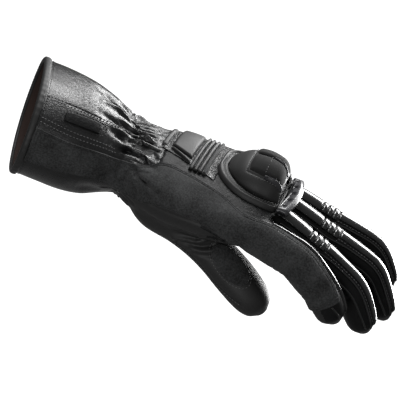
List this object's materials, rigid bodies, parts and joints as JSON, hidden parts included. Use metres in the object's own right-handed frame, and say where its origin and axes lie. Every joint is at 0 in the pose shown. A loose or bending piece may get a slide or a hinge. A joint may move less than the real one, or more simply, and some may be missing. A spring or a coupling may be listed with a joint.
{
  "type": "motorcycle glove",
  "caption": "Left-hand black leather riding glove in worn form: flared open gauntlet cuff, gathered wrist, padded knuckle guard, ribbed back and curved fingers.",
  "frame": {"origin": "centre of the cuff's mouth, whose edge is turned 8.5 degrees to the thumb's side", "axes": "+X along the forearm from the cuff's mouth to the fingertips, +Z out of the back of the hand, -Y to the thumb's side"},
  "size_m": [0.2891, 0.1201, 0.0979],
  "materials": {
    "grain_leather": "satin black grained leather",
    "smooth_leather": "glossy black smooth leather",
    "matte_leather": "matte charcoal suede-like leather",
    "palm_leather": "soft black leather",
    "pod_cloth": "matte black cloth",
    "gloss_trim": "high gloss black trim",
    "lining_cloth": "dark brown lining cloth"
  },
  "bodies": {
    "root": {"gauntlet_cuff": "grain_leather", "cuff_lining": "lining_cloth", "cuff_hem": "smooth_leather", "hand_shell": "palm_leather", "index_sleeve": "palm_leather", "middle_sleeve": "palm_leather", "ring_sleeve": "palm_leather", "little_sleeve": "palm_leather", "thumb_sleeve": "palm_leather", "side_panel": "matte_leather", "cuff_patch": "smooth_leather", "back_edge_strip": "smooth_leather", "back_pad": "smooth_leather", "back_side_pad": "smooth_leather", "back_rib_1": "smooth_leather", "back_rib_2": "smooth_leather", "back_rib_3": "smooth_leather", "back_rib_4": "matte_leather", "knuckle_flange": "smooth_leather", "knuckle_dome": "smooth_leather", "knuckle_pod_middle": "pod_cloth", "knuckle_pod_ring": "pod_cloth", "knuckle_ridge_near": "gloss_trim", "knuckle_ridge_middle": "gloss_trim", "knuckle_lip": "gloss_trim", "index_pad": "grain_leather", "index_strip": "smooth_leather", "middle_pad": "grain_leather", "middle_rib_1": "grain_leather", "middle_rib_2": "grain_leather", "middle_rib_3": "grain_leather", "middle_strip": "smooth_leather", "ring_pad": "grain_leather", "ring_rib_1": "grain_leather", "ring_rib_2": "grain_leather", "ring_rib_3": "grain_leather", "ring_strip": "smooth_leather", "little_pad": "grain_leather", "little_rib_1": "grain_leather", "little_rib_2": "grain_leather", "little_rib_3": "grain_leather", "little_strip": "smooth_leather", "thumb_patch": "matte_leather"}
  },
  "joints": []
}
